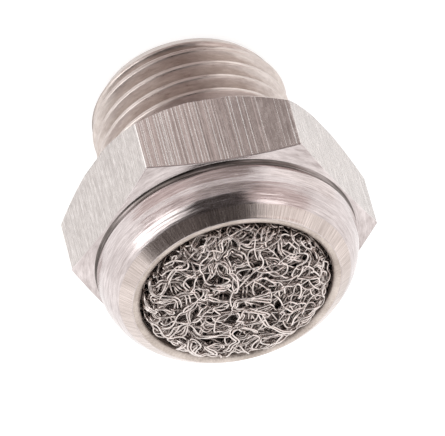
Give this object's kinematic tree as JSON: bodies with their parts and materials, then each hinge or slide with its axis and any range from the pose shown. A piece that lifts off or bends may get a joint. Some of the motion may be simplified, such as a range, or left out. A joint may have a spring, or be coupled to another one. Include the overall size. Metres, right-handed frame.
{
  "type": "pneumatic silencer",
  "caption": "Screw-in exhaust silencer: hexagon body with male pipe thread and a domed pressed wire-knit pad held by a rolled lip.",
  "frame": {"origin": "on the axis, in the plane of the hexagon's sealing face", "axes": "+Z runs along the axis from the threaded stem towards the domed pad; a corner of the hexagon points along +X and a flat faces -Y"},
  "size_m": [0.015, 0.013, 0.0137],
  "materials": {
    "turned_stainless": "turned and drawn stainless steel, satin",
    "stainless_wire": "bright drawn stainless wire"
  },
  "bodies": {
    "root": {"silencer_body": "turned_stainless", "knit_ply_1": "stainless_wire", "knit_ply_2": "stainless_wire", "knit_ply_3": "stainless_wire", "knit_ply_4": "stainless_wire", "knit_ply_5": "stainless_wire", "knit_ply_6": "stainless_wire", "knit_ply_7": "stainless_wire", "knit_ply_8": "stainless_wire"}
  },
  "joints": []
}
